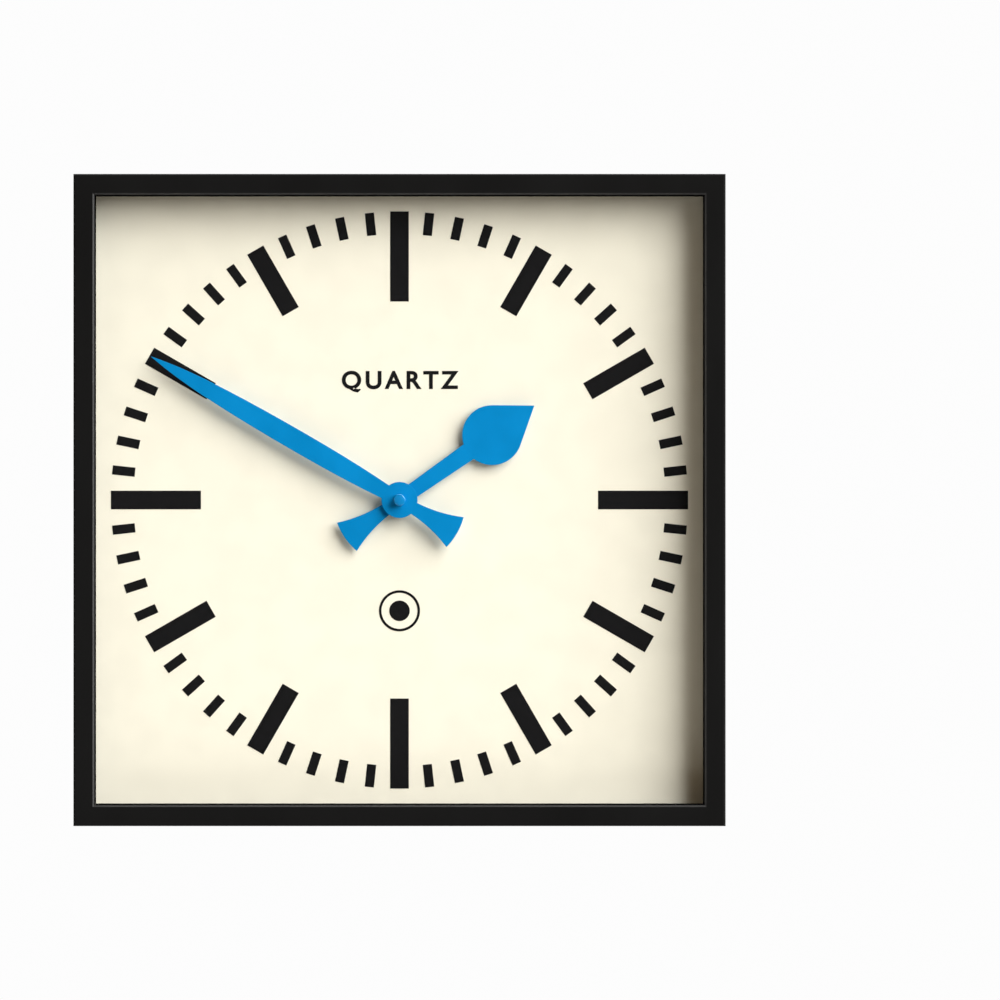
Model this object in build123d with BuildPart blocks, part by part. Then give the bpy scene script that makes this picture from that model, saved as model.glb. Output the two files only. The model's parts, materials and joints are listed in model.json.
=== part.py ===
from build123d import *

import os
from math import asin, atan2, cos, degrees, radians, sin, sqrt

# Square school wall clock with a battery quartz movement, as the pieces it is assembled from.
#
# The clock hangs on a wall and faces -Y; seen from the front, +X is to the right and +Z is up.
# The origin is the point where the axis of the hands meets the wall. Lengths are millimetres.
# "Depth" means distance from the wall, so a larger depth is nearer to the room.

# ---------------------------------------------------------------- driving dimensions

# Case and bezel
case_width = 335.0  # square, where the case meets the wall
case_front_width = 331.3  # the sides draw in towards the front
case_depth = 45.0
case_wall = 3.2
bezel_thickness = 3.0
bezel_opening = 310.0
bezel_bevel = 0.92
case_edge_radius = 1.0

# Screw posts in the corners of the case
post_spacing = 320.0
post_radius = 3.75
post_web = 4.8  # square web that joins each post to its corner of the case
post_hole_radius = 1.5
post_hole_depth = 13.0
screw_head_radius = 2.9
screw_head_height = 1.6
screw_recess_length = 3.4
screw_recess_width = 0.7
screw_recess_depth = 0.8
screw_hole_clearance = 0.25

# Flat pieces that lie in the case, with their corners cut to pass the posts
pane_width = 323.6
corner_cut = 9.4
gasket_thickness = 0.4
gasket_band = 5.6
lens_thickness = 2.0
dial_thickness = 2.0
dial_face_depth = 24.0
spacer_wall = 2.0
spacer_flange = 2.0

# Printed dial
ink_thickness = 0.1
mark_outer_radius = 147.4
quarter_mark_length = 46.0  # at twelve, three, six and nine
hour_mark_length = 36.3
hour_mark_width = 9.5
minute_mark_length = 11.6
minute_mark_width = 4.7
emblem_drop = 56.6
emblem_radius = 10.5
emblem_line = 1.3

# Rear cover and hanger
rear_cover_width = 327.2
rear_cover_depth = 2.0  # the cover is sunk this far, so that the rim meets the wall
rear_cover_thickness = 2.5
rear_window = 62.0
rear_window_corner = 4.0
cover_rib_width = 312.0
cover_rib_thickness = 2.0
hanger_height = 118.0  # keyhole entry above the axis of the hands
hanger_width = 56.0
hanger_length = 32.0
hanger_corner = 3.0
hanger_thickness = 1.2
hanger_opening_width = 38.0  # opening in the rear cover, behind the plate
hanger_opening_height = 24.0
keyhole_radius = 4.5
keyhole_slot_width = 4.5
keyhole_rise = 9.0
rivet_spacing = 48.0
rivet_radius = 1.5
rivet_head_radius = 2.5
rivet_head_height = 0.6

# Hands, at ten minutes to two
minute_hand_angle = 300.0  # clockwise from twelve
hour_hand_angle = 55.0
hand_thickness = 0.8
hour_hand_depth = 27.6
minute_hand_depth = 30.4
boss_radius = 9.2
minute_hand_length = 146.6
minute_hand_half_width = 5.35
hour_hand_length = 84.0
hour_stem_root = 3.7  # half widths of the stem at the axis and in the spade
hour_stem_end = 4.85
spade_radius = 15.3
spade_centre = 57.7
tail_length = 33.9
tail_half_width = 8.8
tail_waist = (22.5, 5.35)  # distance from the axis and half width part of the way out
tail_root = 3.2
cap_nut_radius = 2.95
cap_nut_height = 4.8
cap_nut_edge = 0.9

# Movement
movement_width = 56.0
movement_corner = 2.0
movement_wall = 1.2
movement_rear = 6.5
movement_front = 21.5
movement_front_wall = 1.0
cover_plate_thickness = 1.0
middle_plate_depth = 13.0
middle_plate_thickness = 1.0
bay_bottom = -26.8
bay_top = -10.9
room_bottom = -9.9
bush_radius = 4.0
bush_end = 27.2
nut_across_flats = 12.0
nut_thickness = 2.0
washer_radius = 7.5
washer_thickness = 0.5
gasket_radius = 14.0
bush_clearance = 0.1
plate_post_radius = 1.0
board_rear = 11.0
board_thickness = 0.8
stator_depth = 10.0
stator_thickness = 1.0

# Spindles and running clearances
running_clearance = 0.04
pivot_radius = 0.4
arbor_radius = 0.6
end_play = 0.1
pivot_length = 0.8
pivot_hole_depth = 0.85
minute_arbor_radius = 1.6
hour_pipe_radius = 2.5
knob_shaft_radius = 1.2

# Gear teeth, in modules or as a share of the tooth pitch
addendum = 0.85
dedendum = 1.1
tip_share = 0.20
root_share = 0.56
centre_module = 0.22
train_module = 0.25
motion_module = 0.30
hour_module = 0.28

# Tooth numbers: each wheel turns the pinion of the one before it in the train
rotor_teeth = 12
intermediate_teeth = 60
intermediate_pinion_teeth = 10
second_teeth = 60
second_pinion_teeth = 8
third_teeth = 60
third_pinion_teeth = 8
centre_teeth = 64
cannon_teeth = 14
motion_teeth = 42
motion_pinion_teeth = 12
hour_teeth = 48
knob_teeth = 14

# Depths at which each gear starts and ends
rotor_pinion_band = (6.9, 8.4)
magnet_band = (9.2, 11.8)
intermediate_band = (7.2, 8.0)
intermediate_pinion_band = (8.0, 10.1)
second_band = (8.9, 9.7)
second_pinion_band = (9.7, 12.3)
third_band = (11.0, 11.8)
third_pinion_band = (15.1, 16.9)
centre_band = (15.6, 16.4)
cannon_band = (17.0, 18.6)
motion_band = (17.3, 18.3)
motion_pinion_band = (18.3, 20.1)
hour_band = (18.9, 19.9)

# Battery, an AA cell lying across the foot of the movement
battery_radius = 7.25
battery_can_length = 49.2
battery_nub_radius = 2.75
battery_nub_length = 1.3
battery_centre = (-0.4, -18.85)
battery_depth = 13.15

# ---------------------------------------------------------------- derived depths and places

lens_front_depth = case_depth - bezel_thickness - gasket_thickness
lens_rear_depth = lens_front_depth - lens_thickness
dial_rear_depth = dial_face_depth - dial_thickness
cover_front_depth = rear_cover_depth + rear_cover_thickness
cover_plate_depth = movement_rear - cover_plate_thickness
front_wall_depth = movement_front - movement_front_wall
room_top = movement_width / 2 - movement_wall
room_half_width = movement_width / 2 - movement_wall
board_front = board_rear + board_thickness
stator_front = stator_depth + stator_thickness
hour_hand_front = hour_hand_depth + hand_thickness
minute_hand_front = minute_hand_depth + hand_thickness
middle_plate_front = middle_plate_depth + middle_plate_thickness


def step_from(place, distance, angle):
    """Point at a distance from another, at an angle counter-clockwise from +X."""
    return (
        place[0] + distance * cos(radians(angle)),
        place[1] + distance * sin(radians(angle)),
    )


def mesh_from(place, module, teeth, other_teeth, angle):
    """Axis of a gear that meshes with the gear at a place, in the direction of an angle."""
    return step_from(place, module * (teeth + other_teeth) / 2, angle)


centre = (0.0, 0.0)
third_centre = mesh_from(centre, centre_module, centre_teeth, third_pinion_teeth, 150)
second_centre = mesh_from(third_centre, train_module, third_teeth, second_pinion_teeth, 105)
intermediate_centre = mesh_from(
    second_centre, train_module, second_teeth, intermediate_pinion_teeth, 25
)
rotor_centre = mesh_from(intermediate_centre, train_module, intermediate_teeth, rotor_teeth, 5)
motion_centre = mesh_from(centre, motion_module, cannon_teeth, motion_teeth, 15)
knob_centre = mesh_from(motion_centre, motion_module, motion_teeth, knob_teeth, -5)

# ---------------------------------------------------------------- helpers


def from_wall(depth, place=(0.0, 0.0)):
    """Plane parallel to the wall at a depth, facing the room, its origin at an (x, z) place."""
    return Plane(origin=(place[0], -depth, place[1]), x_dir=(1, 0, 0), z_dir=(0, -1, 0))


def export(builder, name):
    """Label a finished piece and write it under its own name."""
    builder.part.label = name
    export_step(builder.part, f"parts/{name}.step")


def case_width_at(depth):
    """Outside width of the tapered case at a depth."""
    return case_width - (case_width - case_front_width) * depth / case_depth


def cylinder(radius, start, end, place=(0.0, 0.0), mode=Mode.ADD):
    """Solid cylinder between two depths, standing on the wall's normal."""
    with BuildSketch(from_wall(start, place)) as outline:
        Circle(radius)
    extrude(outline.sketch, amount=end - start, mode=mode)


def box_between(low_x, high_x, low_z, high_z, start, end, mode=Mode.ADD):
    """Rectangular block between two depths."""
    middle = ((low_x + high_x) / 2, (low_z + high_z) / 2)
    with BuildSketch(from_wall(start, middle)) as outline:
        Rectangle(high_x - low_x, high_z - low_z)
    extrude(outline.sketch, amount=end - start, mode=mode)


def pane(width, start, end, mode=Mode.ADD):
    """Square sheet whose corners are cut off to pass the screw posts."""
    with BuildSketch(from_wall(start)) as outline:
        Rectangle(width, width)
        chamfer(outline.vertices(), corner_cut)
    extrude(outline.sketch, amount=end - start, mode=mode)


def square(width, start, end, mode=Mode.ADD):
    """Square block centred on the axis of the hands."""
    box_between(-width / 2, width / 2, -width / 2, width / 2, start, end, mode)


def gear(teeth, module, phase, band, place):
    """Straight-flanked gear; phase is the angle of one of its teeth."""
    pitch_radius = module * teeth / 2
    tip_radius = pitch_radius + addendum * module
    root_radius = pitch_radius - dedendum * module
    half_pitch = 180 / teeth * pitch_radius
    tip_half_angle = tip_share * half_pitch / tip_radius
    root_half_angle = root_share * half_pitch / root_radius
    corners = []
    for tooth in range(teeth):
        middle = phase + tooth * 360 / teeth
        corners.append(step_from(centre, root_radius, middle - root_half_angle))
        corners.append(step_from(centre, tip_radius, middle - tip_half_angle))
        corners.append(step_from(centre, tip_radius, middle + tip_half_angle))
        corners.append(step_from(centre, root_radius, middle + root_half_angle))
    with BuildSketch(from_wall(band[0], place)) as outline:
        with BuildLine():
            Polyline(*corners, close=True)
        make_face()
    extrude(outline.sketch, amount=band[1] - band[0])


def phase_in_mesh(driver_phase, driver_teeth, driver_place, teeth, place):
    """Phase that puts a gap of this gear over a tooth of its driver."""
    towards = degrees(atan2(place[1] - driver_place[1], place[0] - driver_place[0]))
    return towards + 180 - (driver_phase - towards) * driver_teeth / teeth - 180 / teeth


def arbor(place, rear_plate, front_plate):
    """Spindle between two plates, with a thinner pivot in each of them."""
    rear_shoulder = rear_plate + end_play
    front_shoulder = front_plate - end_play
    cylinder(arbor_radius, rear_shoulder, front_shoulder, place)
    cylinder(pivot_radius, rear_shoulder - pivot_length, rear_shoulder, place)
    cylinder(pivot_radius, front_shoulder, front_shoulder + pivot_length, place)


def pivot_hole(place, start, end, radius=pivot_radius):
    """Bearing hole for a spindle of the given radius."""
    cylinder(radius + running_clearance, start, end, place, Mode.SUBTRACT)


def fan_tail():
    """Fan-shaped counterweight of a hand, pointing down -X from the boss."""
    corner_x = -sqrt(tail_length**2 - tail_half_width**2)
    waist_x, waist_z = tail_waist
    with BuildLine() as outline:
        upper = ThreePointArc((0, tail_root), (-waist_x, waist_z), (corner_x, tail_half_width))
        end = ThreePointArc(upper @ 1, (-tail_length, 0), (corner_x, -tail_half_width))
        lower = ThreePointArc(end @ 1, (-waist_x, -waist_z), (0, -tail_root))
        Line(lower @ 1, upper @ 0)
    make_face(outline.edges())


def hand_plane(depth, clockwise_angle):
    """Plane of a hand, with its local X along the hand."""
    angle = radians(clockwise_angle)
    return Plane(origin=(0, -depth, 0), x_dir=(sin(angle), 0, cos(angle)), z_dir=(0, -1, 0))


def screw_places():
    """The four corner posts."""
    return GridLocations(post_spacing, post_spacing, 2, 2)


os.makedirs("parts", exist_ok=True)

# ---------------------------------------------------------------- case

with BuildPart() as case:
    with BuildSketch(from_wall(0)):
        Rectangle(case_width, case_width)
    with BuildSketch(from_wall(case_depth)):
        Rectangle(case_front_width, case_front_width)
    loft()
    front_face = case.faces().sort_by(Axis.Y)[0]
    fillet(front_face.edges(), case_edge_radius)

    # The hollow behind the bezel, open to the wall
    bezel_rear = case_depth - bezel_thickness
    inside_at_wall = case_width_at(0) - 2 * case_wall
    inside_at_bezel = case_width_at(bezel_rear) - 2 * case_wall
    with BuildSketch(from_wall(0)):
        Rectangle(inside_at_wall, inside_at_wall)
    with BuildSketch(from_wall(bezel_rear)):
        Rectangle(inside_at_bezel, inside_at_bezel)
    loft(mode=Mode.SUBTRACT)

    # The dial opening, with a bevel on its front edge
    square(bezel_opening, bezel_rear, case_depth, Mode.SUBTRACT)
    bevel_edges = case.edges().filter_by(
        lambda edge: abs(edge.center().Y + case_depth) < 0.01
        and abs(edge.length - bezel_opening) < 0.1
    )
    chamfer(bevel_edges, bezel_bevel)

    # Screw posts, each grown out of its corner of the case
    with BuildSketch(from_wall(cover_front_depth)):
        with screw_places():
            Circle(post_radius)
        with GridLocations(post_spacing + post_web, post_spacing + post_web, 2, 2):
            Rectangle(post_web, post_web)
    extrude(amount=bezel_rear - cover_front_depth)
    with BuildSketch(from_wall(cover_front_depth)):
        with screw_places():
            Circle(post_hole_radius)
    extrude(amount=post_hole_depth, mode=Mode.SUBTRACT)
export(case, "case")

# ---------------------------------------------------------------- lens, its gasket, and the spacer

with BuildPart() as lens_gasket:
    pane(pane_width, lens_front_depth, lens_front_depth + gasket_thickness)
    square(pane_width - 2 * gasket_band, lens_front_depth, case_depth, Mode.SUBTRACT)
export(lens_gasket, "lens_gasket")

with BuildPart() as lens:
    pane(pane_width, lens_rear_depth, lens_front_depth)
export(lens, "lens")

with BuildPart() as dial_spacer:
    square(bezel_opening + 2 * spacer_wall, dial_face_depth, lens_rear_depth)
    pane(pane_width, lens_rear_depth - spacer_flange, lens_rear_depth)
    square(bezel_opening, dial_face_depth, lens_rear_depth, Mode.SUBTRACT)
export(dial_spacer, "dial_spacer")

# ---------------------------------------------------------------- dial and its printing

with BuildPart() as dial_plate:
    pane(pane_width, dial_rear_depth, dial_face_depth)
    cylinder(bush_radius + 0.15, dial_rear_depth, dial_face_depth, centre, Mode.SUBTRACT)
export(dial_plate, "dial_plate")


def dial_marks(length, width, minutes):
    """Printed bars that end on the outer circle of the minute track."""
    with BuildSketch(from_wall(dial_face_depth)) as printing:
        for minute in minutes:
            place = step_from(centre, mark_outer_radius - length / 2, 6 * minute)
            with Locations(Location((*place, 0), (0, 0, 6 * minute))):
                Rectangle(length, width)
    extrude(printing.sketch, amount=ink_thickness)


with BuildPart() as hour_markers:
    dial_marks(quarter_mark_length, hour_mark_width, range(0, 60, 15))
    plain_hours = [minute for minute in range(0, 60, 5) if minute % 15]
    dial_marks(hour_mark_length, hour_mark_width, plain_hours)
export(hour_markers, "hour_markers")

with BuildPart() as minute_markers:
    plain_minutes = [minute for minute in range(60) if minute % 5]
    dial_marks(minute_mark_length, minute_mark_width, plain_minutes)
export(minute_markers, "minute_markers")

with BuildPart() as dial_emblem:
    with BuildSketch(from_wall(dial_face_depth, (0, -emblem_drop))):
        Circle(emblem_radius)
        Circle(emblem_radius - emblem_line, mode=Mode.SUBTRACT)
        Circle(emblem_radius / 2)
    extrude(amount=ink_thickness)
export(dial_emblem, "dial_emblem")

# ---------------------------------------------------------------- rear cover and hanger

hanger_place = (0.0, hanger_height + keyhole_rise / 2)

with BuildPart() as rear_cover:
    square(rear_cover_width, rear_cover_depth, cover_front_depth)
    # A rib all round that presses the dial against the spacer
    square(cover_rib_width, cover_front_depth, dial_rear_depth)
    rib_inside = cover_rib_width - 2 * cover_rib_thickness
    square(rib_inside, cover_front_depth, dial_rear_depth, Mode.SUBTRACT)
    # The window for the battery and the setting knob
    with BuildSketch(from_wall(rear_cover_depth)):
        RectangleRounded(rear_window, rear_window, rear_window_corner)
    extrude(amount=rear_cover_thickness, mode=Mode.SUBTRACT)
    # The opening that takes the head of the wall screw, and the rivet holes beside it
    with BuildSketch(from_wall(rear_cover_depth, hanger_place)):
        Rectangle(hanger_opening_width, hanger_opening_height)
        with GridLocations(rivet_spacing, 0, 2, 1):
            Circle(rivet_radius)
    extrude(amount=rear_cover_thickness, mode=Mode.SUBTRACT)
    with BuildSketch(from_wall(rear_cover_depth)):
        with screw_places():
            Circle(post_hole_radius + screw_hole_clearance)
    extrude(amount=rear_cover_thickness, mode=Mode.SUBTRACT)
export(rear_cover, "rear_cover")

screw_rear = rear_cover_depth - screw_head_height

with BuildPart() as rear_cover_screws:
    with BuildSketch(from_wall(screw_rear)):
        with screw_places():
            Circle(screw_head_radius)
    extrude(amount=screw_head_height)
    fillet(rear_cover_screws.edges().group_by(Axis.Y)[-1], 0.5)
    with BuildSketch(from_wall(rear_cover_depth)):
        with screw_places():
            Circle(post_hole_radius - running_clearance)
    extrude(amount=rear_cover_thickness + post_hole_depth - 2)
    with BuildSketch(from_wall(screw_rear)):
        with screw_places():
            Rectangle(screw_recess_length, screw_recess_width)
            Rectangle(screw_recess_width, screw_recess_length)
    extrude(amount=screw_recess_depth, mode=Mode.SUBTRACT)
export(rear_cover_screws, "rear_cover_screws")

hanger_rear = rear_cover_depth - hanger_thickness

with BuildPart() as hanger_plate:
    with BuildSketch(from_wall(hanger_rear, hanger_place)):
        RectangleRounded(hanger_width, hanger_length, hanger_corner)
        with GridLocations(rivet_spacing, 0, 2, 1):
            Circle(rivet_radius, mode=Mode.SUBTRACT)
        with Locations((0, -keyhole_rise / 2)):
            Circle(keyhole_radius, mode=Mode.SUBTRACT)
        SlotCenterToCenter(keyhole_rise, keyhole_slot_width, rotation=90, mode=Mode.SUBTRACT)
    extrude(amount=hanger_thickness)
export(hanger_plate, "hanger_plate")

with BuildPart() as hanger_rivets:
    for side in (-1, 1):
        rivet_place = (side * rivet_spacing / 2, hanger_place[1])
        rear_head = hanger_rear - rivet_head_height
        front_head = cover_front_depth + rivet_head_height
        cylinder(rivet_head_radius, rear_head, hanger_rear, rivet_place)
        cylinder(rivet_radius, hanger_rear, cover_front_depth, rivet_place)
        cylinder(rivet_head_radius, cover_front_depth, front_head, rivet_place)
export(hanger_rivets, "hanger_rivets")

# ---------------------------------------------------------------- movement housing and plates

contact_notch = 2.6
frame_post_radius = 1.5

with BuildPart() as movement_housing:
    with BuildSketch(from_wall(movement_rear)):
        RectangleRounded(movement_width, movement_width, movement_corner)
    extrude(amount=movement_front - movement_rear)
    box_between(
        -room_half_width, room_half_width, room_bottom, room_top,
        movement_rear, front_wall_depth, Mode.SUBTRACT,
    )
    box_between(
        -room_half_width, room_half_width, bay_bottom, bay_top,
        movement_rear, front_wall_depth, Mode.SUBTRACT,
    )
    # Notches that let the battery contacts pass from the bay into the gear room
    for notch_x in (-room_half_width, room_half_width - contact_notch):
        box_between(
            notch_x, notch_x + contact_notch, bay_top, room_bottom,
            movement_rear, middle_plate_depth - 0.5, Mode.SUBTRACT,
        )
    # Posts that carry the middle plate
    for post_x in (-24.5, 24.5):
        for post_z in (-7.4, 24.3):
            cylinder(frame_post_radius, middle_plate_front, front_wall_depth, (post_x, post_z))
    # Threaded bush that clamps the movement to the dial
    cylinder(bush_radius, movement_front, bush_end)
    chamfer(movement_housing.edges().sort_by(Axis.Y)[0], 0.4)
    pivot_hole(centre, front_wall_depth, bush_end, hour_pipe_radius)
    for place in (third_centre, motion_centre, knob_centre):
        pivot_hole(place, front_wall_depth, front_wall_depth + pivot_hole_depth)
export(movement_housing, "movement_housing")

with BuildPart() as movement_mid_plate:
    plate_reach = room_half_width - 0.3
    box_between(
        -plate_reach, plate_reach, room_bottom + 0.7, room_top - 0.3,
        middle_plate_depth, middle_plate_front,
    )
    # Posts for the stator and the circuit board
    for place in ((6.0, 11.3), (14.0, 24.2)):
        cylinder(plate_post_radius, stator_front, middle_plate_depth, place)
    for place in ((8.0, -6.5), (24.4, -6.5)):
        cylinder(plate_post_radius, board_front, middle_plate_depth, place)
    pivot_hole(centre, middle_plate_depth, middle_plate_front, arbor_radius)
    # The third pinion passes through this hole when the movement is put together
    cylinder(1.6, middle_plate_depth, middle_plate_front, third_centre, Mode.SUBTRACT)
    for place in (second_centre, intermediate_centre, rotor_centre, motion_centre):
        pivot_hole(place, middle_plate_depth, middle_plate_front)
    pivot_hole(knob_centre, middle_plate_depth, middle_plate_front, knob_shaft_radius)
export(movement_mid_plate, "movement_mid_plate")

with BuildPart() as movement_rear_cover:
    with BuildSketch(from_wall(cover_plate_depth, (0, (bay_top + movement_width / 2) / 2))):
        RectangleRounded(movement_width, movement_width / 2 - bay_top, movement_corner)
    extrude(amount=cover_plate_thickness)
    for place in (third_centre, second_centre, intermediate_centre, rotor_centre):
        pivot_hole(place, cover_plate_depth, movement_rear)
    pivot_hole(knob_centre, cover_plate_depth, movement_rear, knob_shaft_radius)
export(movement_rear_cover, "movement_rear_cover")

# ---------------------------------------------------------------- washers and nut on the bush


def washer(outer_radius, start, end):
    """Flat ring that drops over the bush."""
    cylinder(outer_radius, start, end)
    cylinder(bush_radius + bush_clearance, start, end, centre, Mode.SUBTRACT)


nut_rear = dial_face_depth + washer_thickness

with BuildPart() as movement_gasket:
    washer(gasket_radius, movement_front, dial_rear_depth)
export(movement_gasket, "movement_gasket")

with BuildPart() as dial_washer:
    washer(washer_radius, dial_face_depth, nut_rear)
export(dial_washer, "dial_washer")

with BuildPart() as movement_nut:
    with BuildSketch(from_wall(nut_rear)):
        RegularPolygon(nut_across_flats / 2, 6, major_radius=False)
        Circle(bush_radius + running_clearance, mode=Mode.SUBTRACT)
    extrude(amount=nut_thickness)
export(movement_nut, "movement_nut")

# ---------------------------------------------------------------- circuit board and its parts

chip_thickness = 0.9
crystal_radius = 1.0
crystal_length = 6.0

with BuildPart() as circuit_board:
    with BuildSketch(from_wall(board_rear)):
        with BuildLine():
            Polyline(
                (6.0, -9.3), (26.3, -9.3), (26.3, 12.2), (22.6, 12.2), (22.6, -3.6), (6.0, -3.6),
                close=True,
            )
        make_face()
    extrude(amount=board_thickness)
export(circuit_board, "circuit_board")

with BuildPart() as timer_chip:
    box_between(8.6, 12.8, -8.4, -4.4, board_rear - chip_thickness, board_rear)
    fillet(timer_chip.faces().sort_by(Axis.Y)[-1].edges(), 0.4)
export(timer_chip, "timer_chip")

with BuildPart() as quartz_crystal:
    crystal_end = (15, crystal_radius - board_rear, -6.4)
    with BuildSketch(Plane(origin=crystal_end, x_dir=(0, 1, 0), z_dir=(1, 0, 0))):
        Circle(crystal_radius)
    extrude(amount=crystal_length)
    fillet(quartz_crystal.edges().sort_by(Axis.X)[-1], 0.4)
export(quartz_crystal, "quartz_crystal")

# ---------------------------------------------------------------- stepping motor

coil_centre = (21.0, 17.5)
coil_depth = 9.5
coil_half_length = 4.9
core_half_width = 0.8
core_half_length = 7.7
bobbin_clearance = 0.05
flange_thickness = 0.6
flange_radius = 2.9
spool_radius = 1.7
winding_radius = 2.7


def upright_cylinder(radius, low_z, high_z, mode=Mode.ADD):
    """Cylinder standing upright on the axis of the coil."""
    with BuildSketch(Plane(origin=(coil_centre[0], -coil_depth, low_z))) as outline:
        Circle(radius)
    extrude(outline.sketch, amount=high_z - low_z, mode=mode)


spool_low = coil_centre[1] - coil_half_length
spool_high = coil_centre[1] + coil_half_length
core_rear = 2 * coil_depth - stator_depth

with BuildPart() as coil_bobbin:
    upright_cylinder(spool_radius, spool_low, spool_high)
    upright_cylinder(flange_radius, spool_low, spool_low + flange_thickness)
    upright_cylinder(flange_radius, spool_high - flange_thickness, spool_high)
    bore_half_width = core_half_width + bobbin_clearance
    box_between(
        coil_centre[0] - bore_half_width, coil_centre[0] + bore_half_width, spool_low, spool_high,
        core_rear - bobbin_clearance, stator_depth + bobbin_clearance, Mode.SUBTRACT,
    )
export(coil_bobbin, "coil_bobbin")

with BuildPart() as drive_coil:
    upright_cylinder(winding_radius, spool_low + flange_thickness, spool_high - flange_thickness)
    upright_cylinder(spool_radius, spool_low, spool_high, Mode.SUBTRACT)
export(drive_coil, "drive_coil")

with BuildPart() as coil_core:
    box_between(
        coil_centre[0] - core_half_width, coil_centre[0] + core_half_width,
        coil_centre[1] - core_half_length, coil_centre[1] + core_half_length,
        core_rear, stator_depth,
    )
export(coil_core, "coil_core")

magnet_radius = 3.0

with BuildPart() as stator:
    box_between(3.3, 23.2, 9.6, 25.4, stator_depth, stator_front)
    # The gap for the coil, and the round gap in which the magnet turns
    box_between(
        17.4, 23.2, spool_low - 0.2, spool_high + 0.2, stator_depth, stator_front, Mode.SUBTRACT
    )
    cylinder(magnet_radius + 0.5, stator_depth, stator_front, rotor_centre, Mode.SUBTRACT)
export(stator, "stator")

with BuildPart() as rotor_magnet:
    cylinder(magnet_radius, *magnet_band, rotor_centre)
    cylinder(arbor_radius + 0.02, *magnet_band, rotor_centre, Mode.SUBTRACT)
export(rotor_magnet, "rotor_magnet")

# ---------------------------------------------------------------- going train

# Every pinion has a tooth at angle 0, and every wheel is turned to mesh with its pinion.
intermediate_phase = phase_in_mesh(
    0.0, rotor_teeth, rotor_centre, intermediate_teeth, intermediate_centre
)
second_phase = phase_in_mesh(
    0.0, intermediate_pinion_teeth, intermediate_centre, second_teeth, second_centre
)
third_phase = phase_in_mesh(0.0, second_pinion_teeth, second_centre, third_teeth, third_centre)
centre_phase = phase_in_mesh(0.0, third_pinion_teeth, third_centre, centre_teeth, centre)

with BuildPart() as rotor_pinion:
    gear(rotor_teeth, train_module, 0.0, rotor_pinion_band, rotor_centre)
    arbor(rotor_centre, movement_rear, middle_plate_depth)
export(rotor_pinion, "rotor_pinion")

with BuildPart() as intermediate_wheel:
    gear(
        intermediate_teeth, train_module, intermediate_phase, intermediate_band, intermediate_centre
    )
    gear(
        intermediate_pinion_teeth, train_module, 0.0, intermediate_pinion_band, intermediate_centre
    )
    arbor(intermediate_centre, movement_rear, middle_plate_depth)
export(intermediate_wheel, "intermediate_wheel")

with BuildPart() as second_wheel:
    gear(second_teeth, train_module, second_phase, second_band, second_centre)
    gear(second_pinion_teeth, train_module, 0.0, second_pinion_band, second_centre)
    arbor(second_centre, movement_rear, middle_plate_depth)
export(second_wheel, "second_wheel")

with BuildPart() as third_wheel:
    gear(third_teeth, train_module, third_phase, third_band, third_centre)
    gear(third_pinion_teeth, centre_module, 0.0, third_pinion_band, third_centre)
    arbor(third_centre, movement_rear, front_wall_depth)
export(third_wheel, "third_wheel")

centre_seat_radius = 1.0

with BuildPart() as centre_wheel:
    gear(centre_teeth, centre_module, centre_phase, centre_band, centre)
    cylinder(centre_seat_radius + 0.02, *centre_band, centre, Mode.SUBTRACT)
export(centre_wheel, "centre_wheel")

# ---------------------------------------------------------------- motion work and setting knob

motion_phase = phase_in_mesh(0.0, cannon_teeth, centre, motion_teeth, motion_centre)
hour_phase = phase_in_mesh(0.0, motion_pinion_teeth, motion_centre, hour_teeth, centre)
knob_phase = phase_in_mesh(motion_phase, motion_teeth, motion_centre, knob_teeth, knob_centre)

seat_flat = 2.2
seat_radius = 1.45
stud_radius = seat_flat / 2
stud_end = 33.5

with BuildPart() as minute_arbor:
    # From the rear: pivot, shoulder, seat of the centre wheel, arbor with the cannon pinion
    cylinder(arbor_radius, middle_plate_depth + end_play, 14.1)
    cylinder(1.4, 14.1, 15.5)
    cylinder(centre_seat_radius, 15.5, 16.6)
    cylinder(minute_arbor_radius, 16.6, minute_hand_depth)
    gear(cannon_teeth, motion_module, 0.0, cannon_band, centre)
    # Two flats on the seat turn the minute hand with the arbor; the stud beyond takes the nut
    with BuildSketch(hand_plane(minute_hand_depth, minute_hand_angle)):
        Circle(seat_radius)
        Rectangle(seat_flat, 2 * seat_radius, mode=Mode.INTERSECT)
    extrude(amount=hand_thickness)
    cylinder(stud_radius, minute_hand_front, stud_end)
export(minute_arbor, "minute_arbor")

with BuildPart() as motion_wheel:
    gear(motion_teeth, motion_module, motion_phase, motion_band, motion_centre)
    gear(motion_pinion_teeth, hour_module, 0.0, motion_pinion_band, motion_centre)
    arbor(motion_centre, middle_plate_front, front_wall_depth)
export(motion_wheel, "motion_wheel")

pipe_rear = 18.8
pipe_front = hour_hand_front + 0.4

with BuildPart() as hour_wheel:
    gear(hour_teeth, hour_module, hour_phase, hour_band, centre)
    cylinder(hour_pipe_radius, pipe_rear, pipe_front)
    pivot_hole(centre, pipe_rear, pipe_front, minute_arbor_radius)
export(hour_wheel, "hour_wheel")

knob_radius = 4.5
knob_rear = 2.9
knob_front = 5.3
knurl_count = 24
knurl_radius = 0.35

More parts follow.
